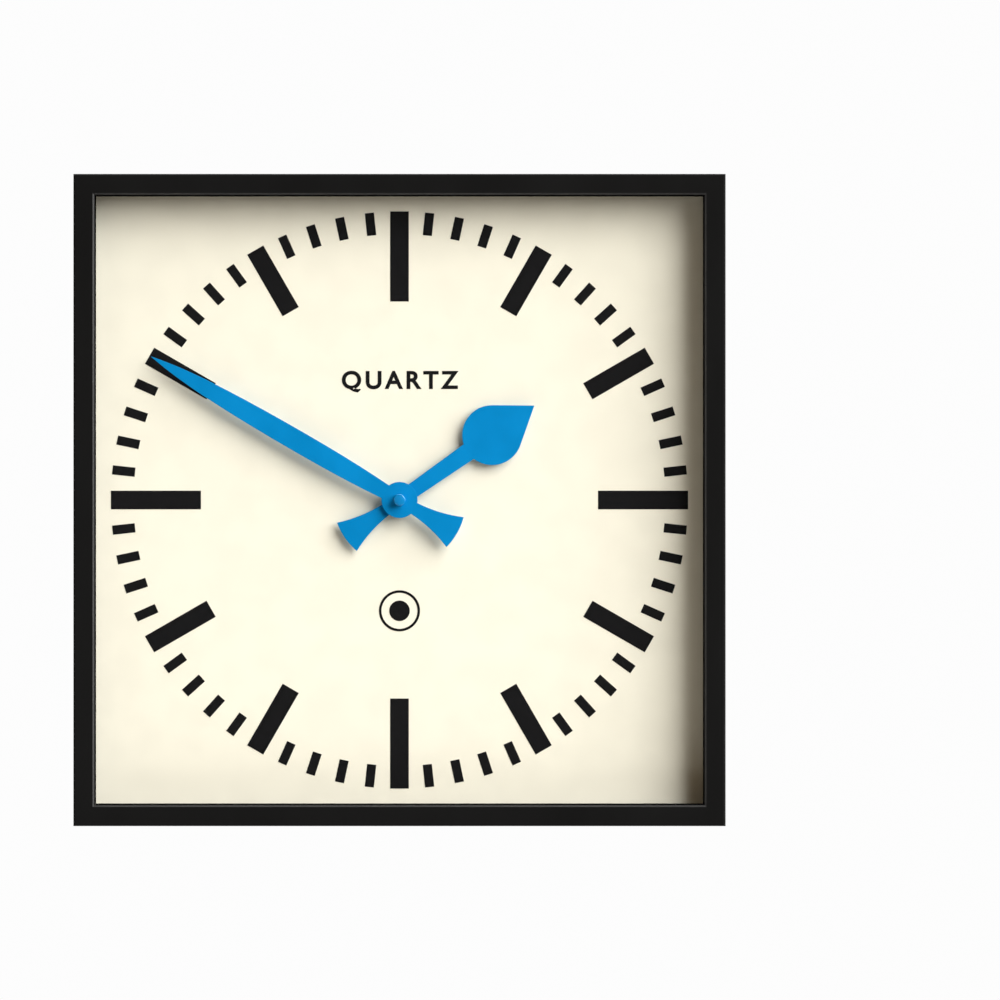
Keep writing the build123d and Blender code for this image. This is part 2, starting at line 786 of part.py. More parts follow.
with BuildPart() as setting_knob:
    cylinder(knob_radius, knob_rear, knob_front, knob_centre)
    fillet(setting_knob.edges().filter_by(GeomType.CIRCLE).sort_by(Axis.Y)[-1], 0.5)
    with BuildSketch(from_wall(knob_rear, knob_centre)):
        with PolarLocations(knob_radius + 0.1, knurl_count):
            Circle(knurl_radius)
    extrude(amount=knob_front - knob_rear, mode=Mode.SUBTRACT)
    # Shaft and pinion, which mesh with the motion wheel, and the front pivot
    front_shoulder = front_wall_depth - end_play
    cylinder(knob_shaft_radius, knob_front, cannon_band[0], knob_centre)
    gear(knob_teeth, motion_module, knob_phase, cannon_band, knob_centre)
    cylinder(arbor_radius, cannon_band[1], front_shoulder, knob_centre)
    cylinder(pivot_radius, front_shoulder, front_shoulder + pivot_length, knob_centre)
export(setting_knob, "setting_knob")

# ---------------------------------------------------------------- hands

with BuildPart() as hour_hand:
    with BuildSketch(hand_plane(hour_hand_depth, hour_hand_angle)):
        fan_tail()
        # Stem, widening a little towards the spade
        with BuildLine():
            Polyline(
                (0, hour_stem_root), (spade_centre, hour_stem_end),
                (spade_centre, -hour_stem_end), (0, -hour_stem_root), close=True,
            )
        make_face()
        # Spade: a disc and two flanks tangent to it that meet at the tip
        with Locations((spade_centre, 0)):
            Circle(spade_radius)
        flank_angle = asin(spade_radius / (hour_hand_length - spade_centre))
        touch_x = spade_centre + spade_radius * sin(flank_angle)
        touch_z = spade_radius * cos(flank_angle)
        with BuildLine():
            Polyline(
                (spade_centre, 0), (touch_x, touch_z), (hour_hand_length, 0), (touch_x, -touch_z),
                close=True,
            )
        make_face()
        Circle(boss_radius)
        Circle(hour_pipe_radius, mode=Mode.SUBTRACT)
    extrude(amount=hand_thickness)
export(hour_hand, "hour_hand")

with BuildPart() as minute_hand:
    with BuildSketch(hand_plane(minute_hand_depth, minute_hand_angle)):
        fan_tail()
        # Blade: widest before its middle, then drawn out to a point
        half_widths = ((0, 3.1), (20, 4.5), (62, minute_hand_half_width), (107, 4.35), (128, 2.8))
        with BuildLine():
            upper = Spline(*half_widths, (minute_hand_length, 0))
            lower = Spline(*[(along, -half) for along, half in half_widths], (minute_hand_length, 0))
            Line(upper @ 0, lower @ 0)
        make_face()
        Circle(boss_radius)
        with BuildSketch(mode=Mode.SUBTRACT):
            Circle(seat_radius)
            Rectangle(seat_flat, 2 * seat_radius, mode=Mode.INTERSECT)
    extrude(amount=hand_thickness)
export(minute_hand, "minute_hand")

with BuildPart() as hand_cap_nut:
    cylinder(cap_nut_radius, minute_hand_front, minute_hand_front + cap_nut_height)
    fillet(hand_cap_nut.edges().sort_by(Axis.Y)[0], cap_nut_edge)
    cylinder(stud_radius + 0.02, minute_hand_front, stud_end + 0.3, centre, Mode.SUBTRACT)
export(hand_cap_nut, "hand_cap_nut")

# ---------------------------------------------------------------- battery and contacts

battery_end = battery_centre[0] - battery_can_length / 2


def lying_plane(x):
    """Plane across the battery at an x, facing +X, with its origin on the battery's axis."""
    return Plane(origin=(x, -battery_depth, battery_centre[1]), x_dir=(0, 1, 0), z_dir=(1, 0, 0))


with BuildPart() as battery:
    with BuildSketch(lying_plane(battery_end)):
        Circle(battery_radius)
    extrude(amount=battery_can_length)
    fillet(battery.edges(), 0.6)
    with BuildSketch(lying_plane(battery_end + battery_can_length)):
        Circle(battery_nub_radius)
    extrude(amount=battery_nub_length)
    fillet(battery.edges().sort_by(Axis.X)[-1], 0.4)
export(battery, "battery")

contact_thickness = 0.4
contact_gap = 0.05
contact_plate = (-24.0, -12.0, 8.5, 17.5)  # low z, high z, and the depths it spans
strip_top = -9.4
strip_depths = (9.9, 12.0)
leaf_half_height = 4.0
leaf_depths = (11.0, 15.0)
contact_inner = room_half_width - contact_thickness

with BuildPart() as battery_contact_positive:
    box_between(contact_inner, room_half_width, *contact_plate)
    # Tail that rises to the edge of the circuit board
    box_between(contact_inner, room_half_width, contact_plate[1], -4.0, *strip_depths)
    # Dimple that meets the nub of the battery
    dimple_face = battery_end + battery_can_length + battery_nub_length + contact_gap
    with BuildSketch(lying_plane(dimple_face)):
        Circle(1.6)
    extrude(amount=contact_inner - dimple_face)
export(battery_contact_positive, "battery_contact_positive")

with BuildPart() as battery_contact_negative:
    box_between(-room_half_width, -contact_inner, *contact_plate)
    box_between(-room_half_width, -contact_inner, contact_plate[1], strip_top, *strip_depths)
    # Strip that runs above the bay to the circuit board
    box_between(-contact_inner, 6.0, strip_top - contact_thickness, strip_top, *strip_depths)
    # Bowed leaf that presses on the flat end of the battery
    leaf_crest = (battery_end - contact_gap, battery_centre[1])
    leaf_start = (-contact_inner, battery_centre[1] - leaf_half_height)
    leaf_end = (-contact_inner, battery_centre[1] + leaf_half_height)
    with BuildSketch(from_wall(leaf_depths[0])):
        with BuildLine():
            ThreePointArc(leaf_start, leaf_crest, leaf_end)
            Line(leaf_end, leaf_start)
        make_face()
    extrude(amount=leaf_depths[1] - leaf_depths[0])
export(battery_contact_negative, "battery_contact_negative")
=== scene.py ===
import json
from math import cos, pi, radians, sin

import bmesh
import bpy
from mathutils import Matrix, Vector

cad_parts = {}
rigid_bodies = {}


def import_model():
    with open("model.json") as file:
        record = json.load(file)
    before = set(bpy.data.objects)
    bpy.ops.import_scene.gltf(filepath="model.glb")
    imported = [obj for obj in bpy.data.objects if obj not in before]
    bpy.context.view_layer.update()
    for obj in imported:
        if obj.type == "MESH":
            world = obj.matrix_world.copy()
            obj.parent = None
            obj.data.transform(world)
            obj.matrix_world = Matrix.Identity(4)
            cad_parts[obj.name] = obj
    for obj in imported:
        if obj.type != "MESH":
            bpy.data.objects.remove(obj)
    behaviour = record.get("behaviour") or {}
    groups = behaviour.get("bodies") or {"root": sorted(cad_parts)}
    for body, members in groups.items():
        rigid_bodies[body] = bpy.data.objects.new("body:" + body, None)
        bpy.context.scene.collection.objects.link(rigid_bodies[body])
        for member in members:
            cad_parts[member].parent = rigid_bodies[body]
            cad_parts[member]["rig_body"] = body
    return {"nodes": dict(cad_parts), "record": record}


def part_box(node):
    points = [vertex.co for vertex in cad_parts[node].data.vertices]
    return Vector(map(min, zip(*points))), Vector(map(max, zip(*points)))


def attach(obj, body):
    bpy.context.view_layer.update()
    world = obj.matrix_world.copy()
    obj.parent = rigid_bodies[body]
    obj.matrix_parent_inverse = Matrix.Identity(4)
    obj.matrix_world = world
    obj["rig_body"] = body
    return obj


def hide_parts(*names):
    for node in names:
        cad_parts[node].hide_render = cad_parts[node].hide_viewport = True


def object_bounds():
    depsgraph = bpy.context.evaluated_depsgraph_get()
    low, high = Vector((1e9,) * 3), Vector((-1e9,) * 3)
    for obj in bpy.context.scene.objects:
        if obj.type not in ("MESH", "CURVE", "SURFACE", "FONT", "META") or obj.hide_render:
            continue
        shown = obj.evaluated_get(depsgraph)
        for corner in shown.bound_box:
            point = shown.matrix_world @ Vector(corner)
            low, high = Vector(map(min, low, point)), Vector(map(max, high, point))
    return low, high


# Square school wall clock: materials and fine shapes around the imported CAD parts.
# Lengths are metres. The clock faces -Y, and the hands turn about the Y axis at the origin.

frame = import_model()
cad_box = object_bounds()
subparts = frame["record"]["subparts"]
slot_of = {part["node"]: part["material_slot"] for part in subparts}
record_colour = {entry["slot"]: entry["base_color"] for entry in frame["record"]["materials"]}
mm = 0.001

# ---------------------------------------------------------------- camera, lights, floor

scene = bpy.context.scene
scene.view_settings.view_transform = "Standard"

front_y = cad_box[0].y
camera_distance = 3.8  # from the front of the clock
field_width = 0.508  # what the picture takes in at the front of the clock
sideways_shift = 0.1005  # the clock hangs left of the picture's middle

camera_data = bpy.data.cameras.new("camera")
camera_data.sensor_width = 36
camera_data.lens = camera_data.sensor_width * camera_distance / field_width
camera_data.shift_x = sideways_shift
camera = bpy.data.objects.new("camera", camera_data)
camera.location = (0, front_y - camera_distance, 0)
camera.rotation_euler = (radians(90), 0, 0)
scene.collection.objects.link(camera)
scene.camera = camera


def softbox(name, right, up, distance, size, power):
    """Square studio light; right and up are degrees round the clock from straight in front."""
    data = bpy.data.lights.new(name, "AREA")
    data.shape = "SQUARE"
    data.size = size
    data.energy = power
    light = bpy.data.objects.new(name, data)
    towards = Vector((
        sin(radians(right)) * cos(radians(up)),
        -cos(radians(right)) * cos(radians(up)),
        sin(radians(up)),
    ))
    light.location = towards * distance
    light.rotation_euler = towards.to_track_quat("Z", "Y").to_euler()
    scene.collection.objects.link(light)


softbox("key_light", right=50, up=30, distance=10, size=10, power=2100)
softbox("side_light", right=90, up=0, distance=6, size=4, power=150)
softbox("left_fill", right=-90, up=0, distance=6, size=4, power=50)
softbox("top_light", right=0, up=90, distance=6, size=4, power=100)
softbox("rear_light", right=200, up=30, distance=6, size=5, power=400)

# The surroundings look white to the camera and give the clock a dim, warm fill.
surroundings = bpy.data.worlds.new("surroundings")
surroundings.use_nodes = True
scene.world = surroundings
sky = surroundings.node_tree
sky.nodes.clear()
seen = sky.nodes.new("ShaderNodeBackground")
seen.inputs["Color"].default_value = (0.98, 0.98, 0.98, 1)
fill = sky.nodes.new("ShaderNodeBackground")
fill.inputs["Color"].default_value = (0.12, 0.09, 0.06, 1)
ray = sky.nodes.new("ShaderNodeLightPath")
choice = sky.nodes.new("ShaderNodeMixShader")
sky.links.new(ray.outputs["Is Camera Ray"], choice.inputs[0])
sky.links.new(fill.outputs[0], choice.inputs[1])
sky.links.new(seen.outputs[0], choice.inputs[2])
sky_output = sky.nodes.new("ShaderNodeOutputWorld")
sky.links.new(choice.outputs[0], sky_output.inputs["Surface"])

# ---------------------------------------------------------------- material toolkit


def linear(colour):
    """Scene-linear RGB of a screen colour."""
    return tuple(c / 12.92 if c <= 0.04045 else ((c + 0.055) / 1.055) ** 2.4 for c in colour[:3])


def shade(colour, factor):
    """The same hue, lighter or darker."""
    return tuple(min(channel * factor, 1.0) for channel in colour)


class Look:
    """A procedural material. Each method adds nodes and returns the socket with the result."""

    def __init__(self, name):
        self.material = bpy.data.materials.new(name)
        self.material.use_nodes = True
        self.tree = self.material.node_tree
        self.tree.nodes.clear()
        self.place = self.node("ShaderNodeTexCoord").outputs["Object"]
        axes = self.node("ShaderNodeSeparateXYZ", Vector=self.place)
        self.x, self.y, self.z = axes.outputs

    def feed(self, socket, value):
        """Link a socket to another, or set its value."""
        if isinstance(value, bpy.types.NodeSocket):
            self.tree.links.new(value, socket)
        elif socket.type == "RGBA":
            socket.default_value = (*value[:3], 1)
        else:
            socket.default_value = value

    def node(self, kind, settings=None, **inputs):
        made = self.tree.nodes.new(kind)
        for name, value in (settings or {}).items():
            setattr(made, name, value)
        for name, value in inputs.items():
            self.feed(made.inputs[name.replace("_", " ")], value)
        return made

    def math(self, operation, *values):
        made = self.node("ShaderNodeMath", {"operation": operation})
        for socket, value in zip(made.inputs, values):
            self.feed(socket, value)
        return made.outputs[0]

    def times(self, first, second):
        return self.math("MULTIPLY", first, second)

    def plus(self, first, second):
        return self.math("ADD", first, second)

    def most(self, first, second):
        return self.math("MAXIMUM", first, second)

    def spread(self, value, low, high, start=0.0, end=1.0):
        """Smoothly map the range from low to high onto the range from start to end."""
        made = self.node("ShaderNodeMapRange", {"interpolation_type": "SMOOTHSTEP"}, Value=value)
        for socket, number in zip(list(made.inputs)[1:5], (low, high, start, end)):
            socket.default_value = number
        return made.outputs[0]

    def stretched(self, x=1.0, y=1.0, z=1.0, turn=0.0):
        """Coordinates scaled along each axis, after a turn about Y in degrees."""
        made = self.node("ShaderNodeMapping", {"vector_type": "TEXTURE"}, Vector=self.place)
        made.inputs["Rotation"].default_value = (0, radians(turn), 0)
        made.inputs["Scale"].default_value = (x, y, z)
        return made.outputs[0]

    def noise(self, size, detail=3.0, place=None):
        """Cloudy pattern whose largest features are about one size across."""
        made = self.node("ShaderNodeTexNoise", Scale=1 / size, Detail=detail)
        self.feed(made.inputs["Vector"], place or self.place)
        return made.outputs["Fac"]

    def cells(self, size, output="Distance"):
        """Cells about one size across: distance from their middles, or a random colour each."""
        made = self.node("ShaderNodeTexVoronoi", Scale=1 / size, Vector=self.place)
        return made.outputs[output]

    def waves(self, value, pitch):
        """Ripple between 0 and 1 as a length grows."""
        return self.plus(self.times(self.math("SINE", self.times(value, 2 * pi / pitch)), 0.5), 0.5)

    def radius(self):
        """Distance from the axis of the hands."""
        across = self.math("POWER", self.x, 2)
        upward = self.math("POWER", self.z, 2)
        return self.math("SQRT", self.plus(across, upward))

    def edges(self, reach):
        """1 on the edges of the piece, fading to 0 within a reach of them."""
        rounded = self.node("ShaderNodeBevel", {"samples": 6}, Radius=reach)
        face = self.node("ShaderNodeNewGeometry").outputs["True Normal"]
        alike = self.node("ShaderNodeVectorMath", {"operation": "DOT_PRODUCT"})
        self.feed(alike.inputs[0], rounded.outputs[0])
        self.feed(alike.inputs[1], face)
        return self.spread(alike.outputs["Value"], 0.99, 0.75)

    def scratches(self, size, turn, share):
        """Sparse hairlines of about one length, in one direction; share is how many there are."""
        long_way = self.stretched(1, 1, 0.02, turn)
        field = self.noise(size, 2, long_way)
        return self.spread(field, 0.74 - share, 0.78 - share)

    def specks(self, size, share):
        """Round dots in a few of the cells of a grid, as dust settles."""
        picked = self.spread(self.cells(size, "Color"), 1 - share, 1.001 - share)
        return self.times(picked, self.spread(self.cells(size), 0.16, 0.08))

    def blend(self, factor, first, second):
        """Colour between two colours."""
        made = self.node("ShaderNodeMix", {"data_type": "RGBA"})
        for index, value in ((0, factor), (6, first), (7, second)):
            self.feed(made.inputs[index], value)
        return made.outputs[2]

    def bump(self, height, depth, below=None):
        """Relief of a depth in metres, over an earlier relief if one is given."""
        made = self.node("ShaderNodeBump", Height=height, Distance=depth)
        if below is not None:
            self.feed(made.inputs["Normal"], below)
        return made.outputs[0]

    def finish(self, colour, roughness, metallic=0.0, normal=None, specular=0.5, **others):
        """Close the material with one layered surface."""
        inputs = {"Base_Color": colour, "Roughness": roughness, "Metallic": metallic}
        inputs["Specular_IOR_Level"] = specular
        if normal is not None:
            inputs["Normal"] = normal
        surface = self.node("ShaderNodeBsdfPrincipled", **inputs, **others)
        return self.close(surface.outputs[0])

    def close(self, surface):
        output = self.node("ShaderNodeOutputMaterial")
        self.feed(output.inputs["Surface"], surface)
        return self.material


# ---------------------------------------------------------------- materials, by slot


def moulded(slot, roughness, grain, relief, colour_factor=1.0, specular=0.5, wear=0.5,
            matt_within=None):
    """Injection-moulded plastic: spark-eroded grain, faint flow marks, edges rubbed smooth.

    Walls nearer the axis of the hands than matt_within, along X and along Z, have no sheen, and
    the narrow bevel round them has a smoother, glossier finish and a painted highlight: its colour
    is a little lighter.
    """
    look = Look(slot)
    base = shade(linear(record_colour[slot]), colour_factor)
    flow = look.noise(45 * mm, 4, look.stretched(1, 1, 2.5))
    fine = look.noise(grain, 2)
    edge = look.edges(0.5 * mm)
    rubbed = look.times(look.times(edge, look.spread(look.noise(7 * mm), 0.35, 0.6)), wear)
    dust = look.specks(3 * mm, 0.03)
    colour = look.blend(look.spread(flow, 0.3, 0.7), shade(base, 0.9), shade(base, 1.1))
    colour = look.blend(look.times(fine, 0.25), colour, shade(base, 0.75))
    colour = look.blend(rubbed, colour, tuple(channel * 1.5 + 0.004 for channel in base))
    colour = look.blend(look.times(dust, 0.3), colour, (0.35, 0.33, 0.3))
    rough = look.plus(look.spread(flow, 0.3, 0.7, roughness - 0.05, roughness + 0.05),
                      look.times(look.scratches(12 * mm, 35, 0.02), -0.08))
    rough = look.plus(rough, look.times(edge, -0.15))
    normal = look.bump(look.noise(25 * mm, 2), 0.03 * mm)
    normal = look.bump(fine, relief, normal)
    gloss = look.plus(look.times(edge, 0.45), specular)
    if matt_within is not None:
        outward = look.most(look.math("ABSOLUTE", look.x), look.math("ABSOLUTE", look.z))
        sheen = look.math("GREATER_THAN", outward, matt_within)
        bevel = look.math("LESS_THAN", outward, matt_within + bevel_width)
        gloss = look.times(look.most(gloss, look.times(bevel, 0.4)), sheen)
        polish_and_painted_highlight = look.times(bevel, sheen)
        # Painted highlight: the bevel's colour is a little lighter than the rest of the plastic.
        colour = look.blend(polish_and_painted_highlight, colour, tuple(channel + 0.005 for channel in base))
        rough = look.plus(rough, look.times(polish_and_painted_highlight, -0.15))
    return look.finish(colour, rough, 0.0, normal, gloss)


def foam(slot):
    """Closed-cell foam tape: small open bubbles."""
    look = Look(slot)
    base = linear(record_colour[slot])
    bubbles = look.cells(0.5 * mm)
    # The bubbles are darker in their middles: painted shade in the open cells.
    colour = look.blend(look.spread(bubbles, 0.1, 0.5), shade(base, 0.5), shade(base, 1.4))
    return look.finish(colour, 0.9, 0.0, look.bump(bubbles, 0.08 * mm), 0.2)


def pane(slot):
    """Clear glass, weakly reflecting on its outer faces, with wiping marks and dust specks."""
    look = Look(slot)
    wiped = look.noise(60 * mm, 3, look.stretched(1, 1, 0.3, 25))
    rough = look.spread(wiped, 0.4, 0.7, 0.02, 0.12)
    rough = look.most(rough, look.times(look.specks(6 * mm, 0.02), 0.6))
    shine = look.node("ShaderNodeBsdfGlossy", Color=(1, 1, 1), Roughness=rough)
    clear = look.node("ShaderNodeBsdfTransparent", Color=(0.997, 0.999, 0.998))
    behind = look.node("ShaderNodeNewGeometry").outputs["Backfacing"]
    share = look.node("ShaderNodeFresnel", IOR=1.12).outputs[0]
    share = look.times(share, look.spread(behind, 0.4, 0.6, 1.0, 0.0))
    both = look.node("ShaderNodeMixShader")
    for socket, value in zip(both.inputs, (share, clear.outputs[0], shine.outputs[0])):
        look.feed(socket, value)
    return look.close(both.outputs[0])


def dial_board(slot):
    """Cream lacquer on smooth board, darker towards the rim with painted shade from the walls, and
    a bare brown back.
    """
    look = Look(slot)
    base = linear(record_colour[slot])
    rim = look.most(look.math("ABSOLUTE", look.x), look.math("ABSOLUTE", look.z))
    # Painted shade: the dial is darker, in patches, over the outer five centimetres next to the
    # walls of the opening.
    rim_painted_shade = look.times(look.spread(rim, 0.11, 0.158), look.spread(look.noise(50 * mm), 0.2, 0.8))
    mottle = look.noise(14 * mm, 5)
    fibre = look.noise(1.5 * mm, 3, look.stretched(1, 1, 0.35, 20))
    colour = look.blend(look.spread(mottle, 0.35, 0.65), shade(base, 0.95), shade(base, 0.98))
    colour = look.blend(look.times(fibre, 0.05), colour, shade(base, 0.85))
    colour = look.blend(look.times(rim_painted_shade, 0.2), colour, shade(base, 0.9))
    colour = look.blend(look.times(look.specks(5 * mm, 0.01), 0.25), colour, (0.5, 0.45, 0.35))
    lacquered_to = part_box("dial_plate")[0].y + 0.2 * mm
    bare = look.math("GREATER_THAN", look.y, lacquered_to)
    pressed = look.blend(look.noise(0.8 * mm, 5), (0.05, 0.03, 0.018), (0.12, 0.075, 0.045))
    colour = look.blend(bare, colour, pressed)
    rough = look.plus(look.spread(mottle, 0.3, 0.7, 0.5, 0.6), look.times(bare, 0.3))
    normal = look.bump(look.noise(2.2 * mm, 2), 0.006 * mm)
    normal = look.bump(fibre, 0.002 * mm, normal)
    return look.finish(colour, rough, 0.0, normal, 0.35)


def ink(slot):
    """Screen-printed ink: the weave of the screen and small changes in cover."""
    look = Look(slot)
    base = linear(record_colour[slot])
    weave = look.times(look.waves(look.x, 0.25 * mm), look.waves(look.z, 0.25 * mm))
    cover = look.noise(3 * mm, 4)
    colour = look.blend(look.spread(cover, 0.35, 0.7), shade(base, 0.5), shade(base, 0.6))
    colour = look.blend(look.times(weave, 0.3), colour, shade(base, 0.4))
    rough = look.spread(cover, 0.3, 0.7, 0.55, 0.68)
    return look.finish(colour, rough, 0.0, look.bump(weave, 0.003 * mm), 0.08)


def lacquer(slot):
    """Sprayed satin paint: orange peel, thin at the cut edges, a few dust nibs, glossier cap."""
    look = Look(slot)
    base = linear(record_colour[slot])
    peel = look.noise(1.6 * mm, 2)
    cloud = look.noise(18 * mm, 3)
    thin = look.times(look.edges(0.25 * mm), look.spread(look.noise(4 * mm), 0.45, 0.65))
    nibs = look.specks(4 * mm, 0.03)
    colour = look.blend(look.spread(cloud, 0.3, 0.7), shade(base, 0.9), shade(base, 1.0))
    colour = look.blend(look.times(thin, 0.4), colour, shade(base, 0.55))
    colour = look.blend(look.times(nibs, 0.2), colour, shade(base, 1.3))
    cap = look.spread(look.radius(), 3.1 * mm, 3.0 * mm)
    rough = look.plus(look.spread(cloud, 0.3, 0.7, 0.38, 0.46), look.times(nibs, 0.15))
    rough = look.plus(rough, look.times(look.scratches(9 * mm, 65, 0.02), 0.1))
    rough = look.plus(rough, look.times(cap, -0.27))
    normal = look.bump(peel, 0.008 * mm)
    normal = look.bump(nibs, 0.02 * mm, normal)
    return look.finish(colour, rough, 0.0, normal, look.plus(look.times(cap, 0.4), 0.08),
                       Coat_Weight=look.times(cap, 0.7), Coat_Roughness=0.08)


def plated(slot, grain_turn=0.0, spangle=2.5 * mm, brushing=0.35, roughness=0.34, hue=None,
           crystal_contrast=0.14):
    """Plated or rolled sheet metal: crystal spangle, rolling lines, dull handling marks."""
    look = Look(slot)
    base = linear(record_colour[slot])
    crystals = look.cells(spangle, "Color")
    lines = look.noise(0.6 * mm, 3, look.stretched(1, 1, 0.03, grain_turn))
    marks = look.noise(9 * mm, 4)
    edge = look.edges(0.3 * mm)
    colour = look.blend(crystals, shade(base, 1 - crystal_contrast), shade(base, 1.08))
    colour = look.blend(look.times(lines, brushing), colour, shade(base, 0.7))
    if hue is not None:
        colour = look.blend(look.spread(marks, 0.5, 0.8, 0, 0.2), colour, hue)
    colour = look.blend(look.times(edge, 0.35), colour, shade(base, 1.3))
    rough = look.spread(marks, 0.3, 0.7, roughness - 0.03, roughness + 0.05)
    rough = look.plus(rough, look.times(crystals, 0.35 * crystal_contrast))
    rough = look.plus(rough, look.times(lines, 0.12))
    normal = look.bump(lines, 0.006 * mm)
    normal = look.bump(marks, 0.004 * mm, normal)
    return look.finish(colour, rough, 1.0, normal, 0.5, Anisotropic=0.3)


def turned(slot, pitch=0.18 * mm, roughness=0.28):
    """Metal turned in a lathe about the axis of the hands: fine rings, tarnish in patches."""
    look = Look(slot)
    base = linear(record_colour[slot])
    rings = look.waves(look.radius(), pitch)
    tarnish = look.noise(5 * mm, 4)
    colour = look.blend(look.spread(tarnish, 0.4, 0.75), base, shade(base, 0.55))
    colour = look.blend(look.times(rings, 0.15), colour, shade(base, 0.7))
    colour = look.blend(look.times(look.edges(0.2 * mm), 0.4), colour, shade(base, 1.25))
    rough = look.spread(tarnish, 0.35, 0.75, roughness, roughness + 0.2)
    return look.finish(colour, rough, 1.0, look.bump(rings, 0.004 * mm))


def rubber(slot):
    """Pressed rubber: powdery bloom over a matt skin."""
    look = Look(slot)
    base = linear(record_colour[slot])
    bloom = look.noise(6 * mm, 5)
    colour = look.blend(look.spread(bloom, 0.45, 0.8), base, tuple(c + 0.03 for c in base))
    rough = look.spread(bloom, 0.3, 0.7, 0.7, 0.88)
    return look.finish(colour, rough, 0.0, look.bump(look.noise(0.5 * mm, 2), 0.02 * mm), 0.3)


def laminate(slot):
    """Circuit board: lacquer over copper tracks that run square to each other."""
    look = Look(slot)
    base = linear(record_colour[slot])
    region = look.spread(look.noise(5 * mm, 1), 0.48, 0.52)
    upright = look.times(look.spread(look.waves(look.x, 1.4 * mm), 0.6, 0.7), region)
    level = look.times(look.spread(look.waves(look.z, 1.4 * mm), 0.6, 0.7),
                       look.spread(region, 1.0, 0.0))
    tracks = look.most(upright, level)
    weave = look.times(look.waves(look.x, 0.5 * mm), look.waves(look.z, 0.5 * mm))
    colour = look.blend(look.times(weave, 0.3), base, shade(base, 0.8))
    colour = look.blend(look.times(tracks, 0.7), colour, shade(base, 1.9))
    normal = look.bump(tracks, 0.03 * mm)
    return look.finish(colour, look.spread(weave, 0, 1, 0.3, 0.38), 0.0, normal, 0.5)


def winding(slot):
    """Enamelled copper wire wound in close turns about an upright axis, with painted shade between
    the turns and painted highlight along their crowns.
    """
    look = Look(slot)
    base = linear(record_colour[slot])
    wander = look.times(look.noise(2 * mm, 2), 0.15 * mm)
    turns = look.waves(look.plus(look.z, wander), 0.14 * mm)
    # Painted shade between the turns and painted highlight along their crowns.
    colour = look.blend(turns, shade(base, 0.45), shade(base, 1.15))
    rough = look.spread(look.noise(3 * mm), 0.3, 0.7, 0.22, 0.34)
    normal = look.bump(turns, 0.05 * mm)
    return look.finish(colour, rough, 0.9, normal, 0.5, Coat_Weight=0.4, Coat_Roughness=0.15)


def sintered(slot):
    """Pressed ferrite: dark, dry and grainy, with paler chipped edges."""
    look = Look(slot)
    base = linear(record_colour[slot])
    grit = look.cells(0.15 * mm, "Color")
    colour = look.blend(grit, shade(base, 0.8), shade(base, 1.4))
    colour = look.blend(look.times(look.edges(0.15 * mm), 0.6), colour, shade(base, 3.0))
    return look.finish(colour, 0.62, 0.3, look.bump(look.noise(0.2 * mm), 0.02 * mm), 0.4)


def battery_print(slot):
    """Printed film on a battery can: dark body, pale band towards the positive end, thin rings."""
    look = Look(slot)
    base = linear(record_colour[slot])
    low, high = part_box("battery")
    length = high.x - low.x
    along = look.times(look.plus(look.x, -low.x), 1 / length)

    def band(start, end, blur=0.002):
        """1 between two shares of the battery's length."""
        rise = look.spread(along, start - blur, start + blur)
        return look.times(rise, look.spread(along, end + blur, end - blur))

    pale = (0.55, 0.57, 0.58)
    green = (0.02, 0.22, 0.16)
    film = look.noise(10 * mm, 4)
    colour = look.blend(look.spread(film, 0.3, 0.7), shade(base, 0.9), shade(base, 1.15))
    colour = look.blend(band(0.72, 0.93), colour, pale)
    colour = look.blend(band(0.69, 0.705), colour, green)
    colour = look.blend(band(0.06, 0.075), colour, green)
    from_seam = look.math("ABSOLUTE", look.plus(look.z, -(low.z + 2 * mm)))
    seam = look.spread(from_seam, 0.3 * mm, 0.1 * mm)
    colour = look.blend(look.times(seam, 0.3), colour, (0.3, 0.3, 0.3))
    rough = look.plus(look.spread(film, 0.3, 0.7, 0.24, 0.34),
                      look.times(look.scratches(8 * mm, 80, 0.05), 0.15))
    normal = look.bump(film, 0.03 * mm)
    normal = look.bump(seam, 0.04 * mm, normal)
    return look.finish(colour, rough, 0.35, normal, 0.5, Coat_Weight=0.3, Coat_Roughness=0.12)


reveal = 155.1 * mm  # half width of the opening over the dial, with its walls
bevel_width = 0.82 * mm  # of the bevel round that opening

